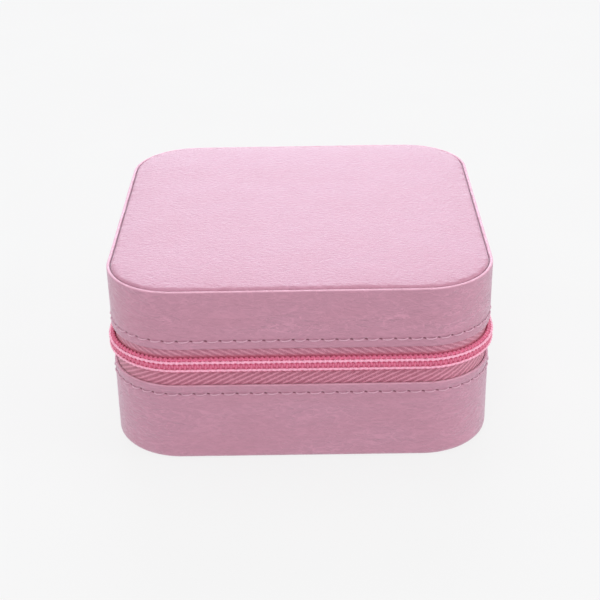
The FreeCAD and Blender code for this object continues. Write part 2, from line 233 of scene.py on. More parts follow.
def tube_rings(path, radii, sides):
    """Rings of points round a path, without twist, and the faces between them with closed ends."""
    path = np.asarray(path, float)
    radii = np.broadcast_to(radii, len(path))
    along = np.gradient(path, axis=0)
    along /= np.linalg.norm(along, axis=1)[:, None]
    side = np.cross(along[0], [0.3, 0.2, 1.0])
    angles = np.linspace(0, 2 * math.pi, sides, endpoint=False)
    rings = []
    for centre, heading, radius in zip(path, along, radii):
        side = side - heading * np.dot(side, heading)
        side /= np.linalg.norm(side)
        other = np.cross(heading, side)
        rings.append(centre + radius * (np.cos(angles)[:, None] * side + np.sin(angles)[:, None] * other))
    faces = grid_faces(len(path), sides, wrap_columns=True) + end_caps(len(path) * sides, sides)
    return np.concatenate(rings), faces


def tubes(name, paths, radii, sides, material, body):
    """One piece made of a tube along each path."""
    points, faces, count = [], [], 0
    for path, radius in zip(paths, radii):
        ring_points, ring_faces = tube_rings(path, radius, sides)
        faces += [[i + count for i in f] for f in ring_faces]
        points.append(ring_points)
        count += len(ring_points)
    return mesh(name, np.concatenate(points), faces, material, body)


def smooth_path(knots, steps):
    """A Catmull-Rom curve through the knots, with steps points on each span."""
    knots = np.asarray(knots, float)
    padded = np.concatenate([2 * knots[:1] - knots[1:2], knots, 2 * knots[-1:] - knots[-2:-1]])
    a, b, c, d = (padded[i:len(padded) - 3 + i, None] for i in range(4))
    t = np.linspace(0, 1, steps, endpoint=False)[None, :, None]
    square, cube = 2 * a - 5 * b + 4 * c - d, 3 * b - a - 3 * c + d
    curve = 0.5 * (2 * b + (c - a) * t + square * t**2 + cube * t**3)
    return np.concatenate([curve.reshape(-1, knots.shape[1]), knots[-1:]])


def refine(node_name, name, width, material, body):
    """A copy of a CAD node with its edges rounded, which stands for it."""
    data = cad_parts[node_name].data.copy()
    edit = bmesh.new()
    edit.from_mesh(data)
    bmesh.ops.remove_doubles(edit, verts=edit.verts, dist=0.001 * MM)
    bmesh.ops.dissolve_limit(edit, angle_limit=math.radians(1), verts=edit.verts, edges=edit.edges)
    sharp = [e for e in edit.edges if e.is_manifold and e.calc_face_angle(0) > math.radians(35)]
    bmesh.ops.bevel(edit, geom=sharp, offset=width * MM, segments=3, profile=0.5, affect="EDGES",
                    clamp_overlap=True)
    bmesh.ops.triangulate(edit, faces=[f for f in edit.faces if len(f.verts) > 4])
    edit.to_mesh(data)
    edit.free()
    data.name = name
    data.shade_smooth()
    data.set_sharp_from_angle(angle=math.radians(40))
    piece = dress(bpy.data.objects.new(name, data), material, body)
    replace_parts(piece, node_name)


# ---------------------------------------------------------------- materials
def node(tree, kind, values=(), **settings):
    """Adds a shader node. A value may be a number or another node's output."""
    made = tree.nodes.new("ShaderNode" + kind)
    for key, value in settings.items():
        setattr(made, key, value)
    for key, value in dict(values).items():
        if isinstance(value, bpy.types.NodeSocket):
            tree.links.new(value, made.inputs[key])
        else:
            made.inputs[key].default_value = value
    return made


def calc(tree, operation, *values):
    """A Math node's output."""
    return node(tree, "Math", dict(enumerate(values)), operation=operation).outputs[0]


def mix(tree, share, first, second):
    """The first colour, turning into the second as share goes from 0 to 1."""
    blended = node(tree, "Mix", {"Factor": share}, data_type="RGBA")
    for socket, value in ((blended.inputs[6], first), (blended.inputs[7], second)):
        if isinstance(value, bpy.types.NodeSocket):
            tree.links.new(value, socket)
        else:
            socket.default_value = value
    return blended.outputs[2]


def ramp(tree, value, low, high, to_low=0.0, to_high=1.0, **settings):
    """The value with low to high turned into to_low to to_high."""
    values = {"Value": value, "From Min": low, "From Max": high, "To Min": to_low, "To Max": to_high}
    return node(tree, "MapRange", values, **settings).outputs[0]


def rgb(red, green, blue):
    """A linear colour from 0 to 255 screen values."""
    def linear(c):
        c /= 255
        return c / 12.92 if c <= 0.04045 else ((c + 0.055) / 1.055) ** 2.4
    return linear(red), linear(green), linear(blue), 1.0


def shade(colour, factor):
    return tuple(c * factor for c in colour[:3]) + (1.0,)


def blank(name, **values):
    """A material with a Principled shader whose sockets are set by name, with _ for a space."""
    material = bpy.data.materials.new(name)
    material.use_nodes = True
    tree = material.node_tree
    shader = tree.nodes["Principled BSDF"]
    for key, value in values.items():
        shader.inputs[key.replace("_", " ")].default_value = value
    return material, tree, shader


def in_mm(tree, stretch=(1, 1, 1)):
    """The piece's own coordinates in millimetres, squeezed by stretch."""
    coordinates = node(tree, "TexCoord").outputs["Object"]
    scale = tuple(s / MM for s in stretch)
    return node(tree, "Mapping", {"Vector": coordinates, "Scale": scale}).outputs[0]


def finish_surface(tree, shader, colour, height, distance, strength=1.0, roughness=None):
    """Links a colour, a bump height and a roughness to the shader."""
    tree.links.new(colour, shader.inputs["Base Color"])
    bump = node(tree, "Bump", {"Height": height, "Distance": distance * MM, "Strength": strength})
    tree.links.new(bump.outputs[0], shader.inputs["Normal"])
    if roughness is not None:
        tree.links.new(roughness, shader.inputs["Roughness"])


LEATHER_PINK = rgb(187, 131, 152)
LEATHER_LILAC = rgb(190, 142, 166)
# painted shade inside the needle holes
HOLE_SHADE = rgb(120, 56, 76)
# painted highlight along the bands' folded rims
EDGE_HIGHLIGHT = rgb(236, 184, 204)
CHAIN_SHADE = rgb(206, 86, 118)
ZIP_PINK = rgb(214, 108, 140)
VELVET_PINK = rgb(206, 140, 160)
GOLD = rgb(226, 190, 138)


def leather(name, stretch=(1, 1, 1), crinkled=1.0, holes_at=None, creased_at=None, highlit_edges_at=()):
    """Pebbled, finely crinkled leather, with a painted highlight along its crinkle ridges. stretch
    squeezes the grain, and crinkled is how rough it is. The heights of a row of needle holes with painted
    shade in them, a creased patch and edges with a painted highlight may be given."""
    material, tree, shader = blank(name, Roughness=0.5, Specular_IOR_Level=0.5, Sheen_Weight=0.6,
                                   Sheen_Roughness=0.35, Sheen_Tint=(0.93, 0.92, 1.0, 1.0))
    spot = in_mm(tree, stretch)
    drift = node(tree, "TexNoise", {"Vector": spot, "Scale": 0.3, "Detail": 2.0})
    bent = node(tree, "VectorMath", {0: drift.outputs["Color"], 1: (2.4, 2.4, 2.4), 2: spot},
                operation="MULTIPLY_ADD").outputs[0]
    cell = node(tree, "TexVoronoi", {"Vector": bent, "Scale": 1.3, "Smoothness": 0.6},
                feature="SMOOTH_F1")
    fine = node(tree, "TexNoise", {"Vector": spot, "Scale": 2.6, "Detail": 4.0, "Roughness": 0.6})
    folds = node(tree, "TexNoise", {"Vector": bent, "Scale": 1.25, "Detail": 3.0, "Distortion": 0.4})
    broad = node(tree, "TexNoise", {"Vector": spot, "Scale": 0.09, "Detail": 3.0})
    grain = calc(tree, "MULTIPLY_ADD", cell.outputs["Distance"], -0.7, fine.outputs["Fac"])
    lines = calc(tree, "MAXIMUM", wrinkles(tree, bent, 0.3, 0.04), wrinkles(tree, bent, 0.62, 0.05))
    lines = calc(tree, "MULTIPLY", lines, ramp(tree, broad.outputs["Fac"], 0.35, 0.62, 0.2, 0.8))
    if creased_at is not None:
        split = node(tree, "SeparateXYZ", {0: in_mm(tree)})
        above = calc(tree, "SUBTRACT", split.outputs[2], creased_at)
        above = calc(tree, "DIVIDE", above, CREASES_REACH)
        patch = ramp(tree, calc(tree, "POWER", above, 2.0), 0.2, 1.6, 1.0, 0.0)
        patch = calc(tree, "MULTIPLY", patch, ramp(tree, broad.outputs["Fac"], 0.4, 0.55))
        short, long = wrinkles(tree, bent, 0.42, 0.03), wrinkles(tree, bent, 0.22, 0.016)
        creases = calc(tree, "MAXIMUM", short, long)
        lines = calc(tree, "MULTIPLY_ADD", patch, calc(tree, "MULTIPLY", creases, 1.5), lines)
    height = calc(tree, "MULTIPLY", grain, 1.5)
    height = calc(tree, "MULTIPLY_ADD", folds.outputs["Fac"], 2.8 * crinkled, height)
    height = calc(tree, "MULTIPLY_ADD", lines, 0.75 * crinkled, height)
    dim, bright = shade(LEATHER_PINK, 0.95), shade(LEATHER_PINK, 1.04)
    colour = mix(tree, ramp(tree, grain, -0.25, 0.45), dim, bright)
    colour = mix(tree, ramp(tree, broad.outputs["Fac"], 0.35, 0.65, 0.0, 0.22), colour, LEATHER_LILAC)
    # painted highlight along the crinkle and crease ridges
    ridge_highlight = ramp(tree, lines, 0.0, 1.6, 0.0, 0.6 * crinkled)
    colour = mix(tree, ridge_highlight, colour, shade(LEATHER_PINK, 1.45))
    if holes_at is not None:
        # painted shade darkens each needle hole
        colour = mix(tree, needle_holes(tree, holes_at), colour, HOLE_SHADE)
    # painted highlight along the folded rim at each given height
    for high in highlit_edges_at:
        run = node(tree, "SeparateXYZ", {0: node(tree, "UVMap", uv_map="run").outputs[0]})
        away = calc(tree, "ABSOLUTE", calc(tree, "SUBTRACT", run.outputs[1], high))
        colour = mix(tree, ramp(tree, away, 0.08, 0.3, 0.6, 0.0), colour, EDGE_HIGHLIGHT)
    roughness = ramp(tree, fine.outputs["Fac"], 0.3, 0.7, 0.42, 0.56)
    finish_surface(tree, shader, colour, height, 0.12, 0.9, roughness)
    return material


def wrinkles(tree, spot, scale, width):
    """1 along soft wandering lines and 0 between them."""
    drift = node(tree, "TexNoise", {"Vector": spot, "Scale": scale, "Detail": 1.5, "Roughness": 0.4,
                                    "Distortion": 0.3})
    away = calc(tree, "ABSOLUTE", calc(tree, "SUBTRACT", drift.outputs["Fac"], 0.5))
    return ramp(tree, away, 0.0, width, 1.0, 0.0, interpolation_type="SMOOTHSTEP")


def needle_holes(tree, high):
    """1 in each needle hole of a row of stitches at that height, and 0 elsewhere: where painted shade
    darkens the holes.
    """
    run = node(tree, "UVMap", uv_map="run").outputs[0]
    split = node(tree, "SeparateXYZ", {0: run})
    turn = calc(tree, "FRACT", calc(tree, "DIVIDE", split.outputs[0], STITCH_PITCH))
    across = calc(tree, "MULTIPLY", calc(tree, "SUBTRACT", turn, 0.5), STITCH_PITCH / HOLE_LONG)
    above = calc(tree, "DIVIDE", calc(tree, "SUBTRACT", split.outputs[1], high), HOLE_HIGH)
    above = calc(tree, "MULTIPLY_ADD", across, 0.5, above)
    far = calc(tree, "ADD", calc(tree, "POWER", across, 2.0), calc(tree, "POWER", above, 2.0))
    return ramp(tree, far, 0.4, 1.3, 0.9, 0.0)


def twill(name, slope, dark, light, boldness):
    """A zip tape's slanted ribs, with a painted highlight on their crests and painted shade in their
    grooves, and painted shade in a deeper pink close to the chain.
    """
    material, tree, shader = blank(name, Roughness=0.75, Sheen_Weight=0.35, Sheen_Roughness=0.5,
                                   Specular_IOR_Level=0.35)
    run = node(tree, "UVMap", uv_map="run").outputs[0]
    split = node(tree, "SeparateXYZ", {0: run})
    fuzz = node(tree, "TexNoise", {"Vector": in_mm(tree), "Scale": 1.6, "Detail": 5.0, "Roughness": 0.6})
    phase = calc(tree, "MULTIPLY_ADD", split.outputs[1], -1 / slope, split.outputs[0])
    phase = calc(tree, "MULTIPLY_ADD", fuzz.outputs["Fac"], 1.1, phase)
    rib = calc(tree, "SINE", calc(tree, "MULTIPLY", phase, 2 * math.pi / RIB_PITCH))
    # painted highlight on each rib's crest, and painted shade in the groove between ribs
    streak = ramp(tree, rib, 0.45, 0.95)
    groove_shade = ramp(tree, rib, -1.0, -0.6, 1.0, 0.0)
    yarn = calc(tree, "SINE", calc(tree, "MULTIPLY", phase, 2 * math.pi / YARN_PITCH))
    pick = calc(tree, "SINE", calc(tree, "MULTIPLY", split.outputs[1], 2 * math.pi / PICK_PITCH))
    weave = calc(tree, "MULTIPLY", yarn, pick)
    tone = calc(tree, "MULTIPLY_ADD", streak, 0.85 * boldness, fuzz.outputs["Fac"])
    tone = calc(tree, "MULTIPLY_ADD", weave, 0.42, tone)
    colour = mix(tree, ramp(tree, tone, 0.2, 1.1), dark, light)
    colour = mix(tree, calc(tree, "MULTIPLY", groove_shade, 0.4 * boldness), colour, shade(dark, 0.6))
    # painted shade: the tape turns a deeper pink close to the chain
    from_chain = calc(tree, "ABSOLUTE", calc(tree, "SUBTRACT", split.outputs[1], ZIP_LINE))
    colour = mix(tree, ramp(tree, from_chain, 1.9, 2.8, 0.85, 0.0), colour, CHAIN_SHADE)
    height = calc(tree, "MULTIPLY_ADD", weave, 0.5, fuzz.outputs["Fac"])
    finish_surface(tree, shader, colour, height, 0.08, 0.8)
    return material


def nylon(name, colour, roughness):
    """Smooth dyed plastic or waxed thread, with faint streaks."""
    material, tree, shader = blank(name, Roughness=roughness, Specular_IOR_Level=0.5)
    streak = node(tree, "TexNoise", {"Vector": in_mm(tree), "Scale": 1.1, "Detail": 4.0})
    tone = mix(tree, ramp(tree, streak.outputs["Fac"], 0.3, 0.7), shade(colour, 0.9), shade(colour, 1.08))
    finish_surface(tree, shader, tone, streak.outputs["Fac"], 0.02, 0.4)
    return material


def thread(name, colour):
    """Twisted sewing thread."""
    material, tree, shader = blank(name, Roughness=0.6, Sheen_Weight=0.4, Specular_IOR_Level=0.4)
    ply = node(tree, "TexWave", {"Vector": in_mm(tree), "Scale": 1.6, "Distortion": 1.2, "Detail": 2.0},
               bands_direction="DIAGONAL")
    tone = mix(tree, ply.outputs["Fac"], shade(colour, 0.86), shade(colour, 1.06))
    finish_surface(tree, shader, tone, ply.outputs["Fac"], 0.04, 0.7)
    return material


def velvet(name, colour):
    """Short pile, brushed lighter and darker in patches."""
    material, tree, shader = blank(name, Roughness=0.9, Sheen_Weight=1.0, Sheen_Roughness=0.3,
                                   Sheen_Tint=(1.0, 0.86, 0.9, 1.0), Specular_IOR_Level=0.2)
    spot = in_mm(tree)
    pile = node(tree, "TexNoise", {"Vector": spot, "Scale": 5.5, "Detail": 4.0, "Roughness": 0.7})
    nap = node(tree, "TexNoise", {"Vector": spot, "Scale": 0.16, "Detail": 4.0, "Distortion": 0.8})
    tone = mix(tree, ramp(tree, nap.outputs["Fac"], 0.35, 0.65), shade(colour, 0.9), shade(colour, 1.05))
    tone = mix(tree, ramp(tree, pile.outputs["Fac"], 0.3, 0.7, 0.3, 0.0), tone, shade(colour, 0.6))
    finish_surface(tree, shader, tone, pile.outputs["Fac"], 0.12, 0.8)
    return material


def ribbed_elastic(name, colour):
    """Elastic webbing with lengthwise ribs."""
    material, tree, shader = blank(name, Roughness=0.7, Sheen_Weight=0.4, Specular_IOR_Level=0.35)
    spot = in_mm(tree)
    rib = node(tree, "TexWave", {"Vector": spot, "Scale": 0.42, "Distortion": 0.3}, bands_direction="Y")
    knit = node(tree, "TexWave", {"Vector": spot, "Scale": 0.7, "Distortion": 0.6}, bands_direction="X")
    weave = calc(tree, "MULTIPLY_ADD", knit.outputs["Fac"], 0.4, rib.outputs["Fac"])
    tone = mix(tree, ramp(tree, weave, 0.0, 1.4), shade(colour, 0.78), shade(colour, 1.08))
    finish_surface(tree, shader, tone, weave, 0.15, 0.8)
    return material


def gilt(name):
    """Plated zinc, polished, with faint wear and smudges."""
    material, tree, shader = blank(name, Metallic=1.0, Roughness=0.24)
    smudge = node(tree, "TexNoise", {"Vector": in_mm(tree), "Scale": 0.35, "Detail": 7.0})
    tone = mix(tree, ramp(tree, smudge.outputs["Fac"], 0.3, 0.8), GOLD, shade(GOLD, 0.9))
    roughness = ramp(tree, smudge.outputs["Fac"], 0.3, 0.7, 0.2, 0.3)
    finish_surface(tree, shader, tone, smudge.outputs["Fac"], 0.004, 0.2, roughness)
    return material


def fibres(name, colour, scale, bump):
    """Board or foam: a matt, finely speckled body."""
    material, tree, shader = blank(name, Roughness=0.95, Specular_IOR_Level=0.2)
    speck = node(tree, "TexNoise", {"Vector": in_mm(tree), "Scale": scale, "Detail": 6.0,
                                    "Roughness": 0.7})
    tone = mix(tree, ramp(tree, speck.outputs["Fac"], 0.3, 0.7), shade(colour, 0.8), shade(colour, 1.1))
    finish_surface(tree, shader, tone, speck.outputs["Fac"], bump, 0.7)
    return material


band_stretch = (0.42, 0.42, 1.25)
lid_leather = leather("leather_lid_band", band_stretch, 1.0, STITCH_HIGH, CREASES_AT, (LID_RIM,))
base_leather = leather("leather_base_band", band_stretch, 1.0, STITCH_LOW, highlit_edges_at=(BASE_EDGE,))
plain_leather = leather("leather_plain", (0.7, 1.3, 1.0), 0.3)
upper_twill = twill("zip_tape_upper", -RIB_SLOPE, rgb(182, 104, 128), rgb(226, 160, 182), 0.75)
# the lower tape's darker colours are painted shade from the coil above it; both tapes are one cloth
lower_twill = twill("zip_tape_lower", RIB_SLOPE, rgb(168, 84, 108), rgb(226, 152, 176), 0.85)
coil_nylon = nylon("zip_coil", ZIP_PINK, 0.32)
zip_thread = nylon("zip_thread", rgb(243, 172, 197), 0.4)
core_yarn = nylon("core_yarn", rgb(226, 110, 146), 0.6)
seam_thread = thread("seam_thread", rgb(216, 168, 188))
pink_velvet = velvet("velvet", VELVET_PINK)
pocket_velvet = velvet("pocket_velvet", shade(VELVET_PINK, 1.05))
elastic = ribbed_elastic("elastic", VELVET_PINK)
gilt_metal = gilt("gilt_metal")
grey_board = fibres("grey_board", rgb(166, 158, 148), 2.2, 0.06)


# ---------------------------------------------------------------- leather bands
def near_hole(distance):
    """How far each point is along the seam from the nearest needle hole."""
    return (np.mod(distance / STITCH_PITCH, 1.0) - 0.5) * STITCH_PITCH


def leather_skin(stitch_height):
    """A shape for a band: soft waves, a pinched seam and its needle holes."""
    def shape(s, out, high):
        outer = np.clip((out + LEATHER) / LEATHER, 0, 1)
        spots = place(s, out, high)
        soft = 0.09 * wave(spots, 15.0) + 0.03 * wave(spots, 5.0, 7.1)
        pinch = -0.13 * bell(high - stitch_height, 0.55)
        hole = -0.4 * bell(near_hole(s), 0.36) * bell(high - stitch_height, 0.2)
        edge = 0.07 * wave(spots, 9.0, 2.2) * outer
        return out + (soft + pinch + hole) * outer, high + edge
    return shape


def lid_band():
    cut = 0.3  # rounding of the edge above the zip
    profile = [(-LEATHER, LID_EDGE + cut), (-LEATHER + cut, LID_EDGE)]
    profile += arc(-cut, LID_EDGE + cut, cut, -90, 0)
    profile += climb(0, LID_EDGE + cut, LID_RIM - ROUND, 0.35, STITCH_HIGH)
    profile += arc(-ROUND, LID_RIM - ROUND, ROUND, 0, 90)
    profile += arc(ROUND - LEATHER, LID_RIM - ROUND, ROUND, 90, 180)
    profile += [(-LEATHER, z) for z in np.linspace(LID_RIM - 2, LID_EDGE + 2, 4)]
    skin = leather_skin(STITCH_HIGH)
    piece = wall("lid_side_band", profile, round_stations, lid_leather, "lid", skin)
    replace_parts(piece, "lid_band_leather")


def base_band():
    low = 0.12  # the folded-in edge lies this far above the ground, inside the underside's panel
    profile = [(-2.6, low), (-2.6, 0.6), (-1.6, 0.72), (-LEATHER, 1.1)]
    profile += [(-LEATHER, z) for z in np.linspace(4, BASE_EDGE - 2, 4)]
    profile += arc(ROUND - LEATHER, BASE_EDGE - ROUND, ROUND, 180, 90)
    profile += arc(-ROUND, BASE_EDGE - ROUND, ROUND, 90, 0)
    profile += climb(0, FOOT_ROUND + 0.15, BASE_EDGE - ROUND, 0.35, STITCH_LOW)[::-1]
    profile += arc(-FOOT_ROUND, FOOT_ROUND + low, FOOT_ROUND, 0, -90, 7)
    skin = leather_skin(STITCH_LOW)
    piece = wall("base_side_band", profile, round_stations, base_leather, "base", skin)
    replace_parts(piece, "base_band_leather")


def plate(name, rings, material, body, shape=None):
    """A rounded-square pad: rings of (inset, height) from the foot inwards, closed over the middle."""
    stations = round_stations[::2]
    count = len(stations)
    points = [place(stations, np.full(count, -inset, float), high) for inset, high in rings]
    points += [points[-1] * [share, share, 1] for share in np.linspace(1, 0, 26)[1:-1]]
    points = np.array(points)
    if shape:
        points = shape(points)
    faces = grid_faces(len(points), count, wrap_columns=True)
    flat = points.reshape(-1, 3)
    middle = flat[-count:].mean(0)
    foot = np.array([0, 0, flat[:count, 2].mean()])
    tip, base = len(flat), len(flat) + 1
    faces += [[len(flat) - count + i, len(flat) - count + (i + 1) % count, tip] for i in range(count)]
    faces += [[i, (i + 1) % count, base] for i in range(count)]
    return mesh(name, np.concatenate([flat, [middle, foot]]), faces, material, body)


def lid_pad():
    """The padded top: it swells out of the band's rim, puckers at its edge and is slightly crowned."""
    edge, foot, rise, run = LEATHER + 0.1, LID_RIM - 0.8, 1.15, 0.95
    tucked = LEATHER + 0.02
    rings = [(LEATHER + 0.3, foot - 0.8), (tucked, foot - 0.6), (tucked, foot - 0.3), (edge, foot)]
    turns = np.linspace(0.12, 1.57, 10)
    rings += [(edge + run * (1 - math.cos(a)), foot + rise * math.sin(a)) for a in turns]
    rings += [(edge + run + d, foot + rise) for d in (0.8, 1.8, 3.0, 4.4, 6.0, 8.0, 10.0, 12.0, 14.0)]

    def swell(points):
        spots = points.reshape(-1, 3)
        across = np.abs(spots[:, :2])
        reach = HALF - edge - np.max(across, axis=1)
        corner = np.linalg.norm(np.clip(across - (HALF - CORNER), 0, None), axis=1)
        reach = np.where(corner > 0, np.minimum(reach, CORNER - edge - corner), reach)
        raised = np.clip((spots[:, 2] - foot) / rise, 0, 1)
        crown = 0.7 * (1 - np.exp(-np.clip(reach, 0, None) / 7.0))
        flat = spots * [1, 1, 0]
        soft = 0.07 * wave(flat, 18.0, 2.0) + 0.02 * wave(flat, 6.0, 9.0)
        pucker = 0.3 * wave(flat, 2.2, 4.0) * bell(reach - 0.5, 1.1)
        spots[:, 2] += raised * (crown + soft + pucker)
        return points

    piece = plate("lid_padded_top", rings, plain_leather, "lid", shape=swell)
    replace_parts(piece, "lid_top_leather", "lid_foam_pad")


def underside():
    """The panel that covers the folded-in edge of the base's band."""
    rings = [(2.2, 0.75), (2.2, 0.3), (2.3, 0.1), (2.6, 0.0), (4, 0.0), (8, 0.0), (14, 0.0)]
    piece = plate("base_underside", rings, plain_leather, "base")
    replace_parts(piece, "base_bottom_leather")


# ---------------------------------------------------------------- stitches
def stitch_row(name, high, body):
    """Stitches from hole to hole, all the way round, each one sagging and leaning a little."""
    paths = []
    half = STITCH_PITCH / 2 - NEEDLE_GAP
    t = np.linspace(-1, 1, 9)
    for i in range(STITCHES):
        middle = (i - STITCHES / 2) * STITCH_PITCH
        jitter = 0.05 * noise.noise((i * 0.83, high, 0.5))
        s = middle + t * (half + 0.12)
        out = -0.42 + 0.5 * (1 - t**4) + jitter
        drop = high + STITCH_LEAN * t / 2 - SAG * (1 - t**2) + jitter
        paths.append(place(s, out, drop))
    radii = [THREAD * np.array([0.6, 0.9, 1.0, 1.06, 1.1, 1.06, 1.0, 0.9, 0.6])] * len(paths)
    return tubes(name, paths, radii, 7, seam_thread, body)


def seams():
    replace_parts(stitch_row("lid_seam", STITCH_HIGH, "lid"), "lid_stitching")
    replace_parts(stitch_row("base_seam", STITCH_LOW, "base"), "base_stitching")


# ---------------------------------------------------------------- zip
def tape(name, node_name, low, high, slope, rib_height, material, body):
    """A zip tape with raised slanted ribs on its face."""
    face_low, face_high = max(low, BASE_EDGE - 1), min(high, LID_EDGE + 1)
    free_edge, towards = (high, 1) if high < ZIP_LINE else (low, -1)
    past_stops = STRAIGHT + ARC + CHAIN_END_Y + 2.5
    sunk = 0.05  # the face lies this much deeper where nothing shows it
    profile = [(TAPE_FACE - TAPE - sunk, z) for z in np.linspace(high, low, 4)]
    levels = [np.arange(low, face_low, 1.5), np.arange(face_low, face_high, 0.18)]
    levels += [np.arange(face_high, high + 0.1, 1.5)]
    profile += [(TAPE_FACE - sunk, z) for z in np.concatenate(levels)]

    def ribs(s, out, level):
        outer = out > TAPE_FACE - 2 * sunk
        phase = (s - level / slope) * 2 * math.pi / RIB_PITCH
        above_base = np.clip((level - BASE_EDGE + 0.4) / 0.5, 0, 1)
        below_lid = np.clip((LID_EDGE + 0.4 - level) / 0.5, 0, 1)
        rise = rib_height * np.clip(np.sin(phase), 0, 1) ** 2
        rise = rise + 0.015 * np.sin(s * 2 * math.pi / YARN_PITCH)
        met = np.clip((s - past_stops) / 2, 0, 1) * np.clip(1 - np.abs(level - free_edge) / 1.2, 0, 1)
        raised = np.where(outer, (rise + sunk) * (above_base * below_lid), 0)
        return out + raised, level + 0.4 * towards * met

    end = back_distance(TAPE_END)
    stations = np.arange(-end, end, 0.25)
    piece = wall(name, profile, stations, material, body, ribs, closed=False)
    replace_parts(piece, node_name)


WIRE = 0.31
COIL_TURN = [  # one turn of the coil: along, up from the zip's line, out from the outline, thickness
    (-0.22, 1.74, -0.08, 1.0), (-0.14, 1.35, 0.30, 1.0), (-0.06, 0.80, 0.42, 1.0),
    (0.02, 0.28, 0.46, 1.25), (0.10, -0.10, 0.26, 1.5), (0.14, -0.14, -0.15, 1.25),
    (0.20, 0.25, -0.45, 1.0), (0.30, 0.90, -0.55, 1.0), (0.42, 1.50, -0.52, 1.0),
    (0.66, 1.84, -0.42, 1.05), (0.90, 1.88, -0.30, 1.05),
]
COIL_CORES = ((0.62, -0.06, 0.45), (1.44, -0.20, 0.42))  # up, out and radius of the cords in each row
SEAM_UP, SEAM_OUT, SEAM_THREAD = 1.12, 0.54, 0.35  # where a coil's thread lies, and its radius


def coil(name, node_name, up, body):
    """One coil row, whose heads reach between those of the other row. up is 1 or -1."""
    first = -back_distance(SPINE_HALF) + 0.3 + (0 if up > 0 else TOOTH_PITCH / 2)
    last = STRAIGHT / 2 + ARC + CHAIN_END_Y + STRAIGHT / 2
    turns = int((last - first) / TOOTH_PITCH)
    turn = np.array(COIL_TURN)
    knots = np.concatenate([turn + [first + i * TOOTH_PITCH, 0, 0, 0] for i in range(turns)])
    line = smooth_path(knots, 2)
    path = place(line[:, 0], line[:, 2], ZIP_LINE + up * line[:, 1])
    piece = tubes(name, [path], [WIRE * line[:, 3]], 8, coil_nylon, body)
    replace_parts(piece, node_name)


def coil_seam(name, up, body):
    """The thread that sews a coil row to its tape, dipping between the turns, and the row's cords."""
    first, last = -back_distance(SPINE_HALF) + 0.1, STRAIGHT + ARC + CHAIN_END_Y - 0.4
    s = np.arange(first, last, TOOTH_PITCH / 8)
    phase = (s - first - 0.1) * 2 * math.pi / TOOTH_PITCH
    out = SEAM_OUT + 0.06 * np.cos(phase)
    high = ZIP_LINE + up * (SEAM_UP + 0.04 * np.sin(phase / 2))
    radii = SEAM_THREAD + (0.06 if up > 0 else 0.03) * np.cos(phase)
    tubes(name, [place(s, out, high)], [radii], 8, zip_thread, body)
    few = s[::4]
    rises, outs, core_radii = zip(*COIL_CORES)
    cores = [place(few, np.full(len(few), o), ZIP_LINE + up * rise) for rise, o in zip(rises, outs)]
    tubes(name + "_core", cores, core_radii, 8, core_yarn, body)


def zip_parts():
    foot, top = limits("zip_tape_lower")[0].z, limits("zip_tape_upper")[1].z
    tape("lower_tape", "zip_tape_lower", foot, ZIP_LINE - 0.5, RIB_SLOPE, 0.045, lower_twill, "base")
    tape("upper_tape", "zip_tape_upper", ZIP_LINE + 0.5, top, -RIB_SLOPE, 0.035, upper_twill, "lid")
    coil("lower_coil", "zip_coil_lower", -1, "base")
    coil("upper_coil", "zip_coil_upper", 1, "lid")
    coil_seam("lower_coil_thread", -1, "base")
    coil_seam("upper_coil_thread", 1, "lid")
    refine("zip_top_stop_lower", "lower_top_stop", 0.25, coil_nylon, "base")
    refine("zip_top_stop_upper", "upper_top_stop", 0.25, coil_nylon, "lid")
    refine("zip_slider", "slider", 0.16, gilt_metal, "slider")
    refine("pull_tab", "tab", 0.14, gilt_metal, "pull_tab")
    recolour(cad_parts["pull_link"], gilt_metal)


# ---------------------------------------------------------------- hinge strip
def bend_at_back(piece):
    """Bakes a piece's placement into its mesh."""
    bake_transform(piece)


def hinge_sheet(name, half, low, high, inner, thick, bulge, material):
    """A strip across the back, creased where it bends."""
    step = 0.8
    first, last = back_distance(half), AROUND - back_distance(half)
    along, upward = np.arange(first, last + step / 2, step), np.arange(low, high + 0.01, 0.45)
    s, z = np.meshgrid(along, upward, indexing="ij")
    middle, reach = (BASE_EDGE + LID_EDGE) / 2, (LID_EDGE - BASE_EDGE) / 2
    shown = np.clip(1 - ((z - middle) / reach) ** 2, 0, 1)
    end = np.clip(np.minimum(s - first, last - s) / 1.2, 0, 1)
    spots = place(s, np.zeros_like(s), z)
    side_creases = bell(z - middle - 2.4, 0.45), bell(z - middle + 2.4, 0.45)
    crease = bell(z - middle, 0.5) + 0.6 * side_creases[0] + 0.6 * side_creases[1]
    crease = crease * (0.7 + wave(spots, 9.0, 2.0))
    face = inner + thick + bulge * shown * (0.6 + 0.4 * end) + 0.05 * wave(spots, 7.0, 6.0) * shown
    face = face - 0.16 * bulge * crease
    outer, under = place(s, face, z), place(s, face - thick, z)
    points = np.concatenate([outer.reshape(-1, 3), under.reshape(-1, 3)])
    uv = np.concatenate([np.stack([s, z], -1).reshape(-1, 2)] * 2)
    piece = mesh(name, points, cloth_faces(*s.shape), material, None, uv=uv)
    bend_at_back(piece)
    return piece


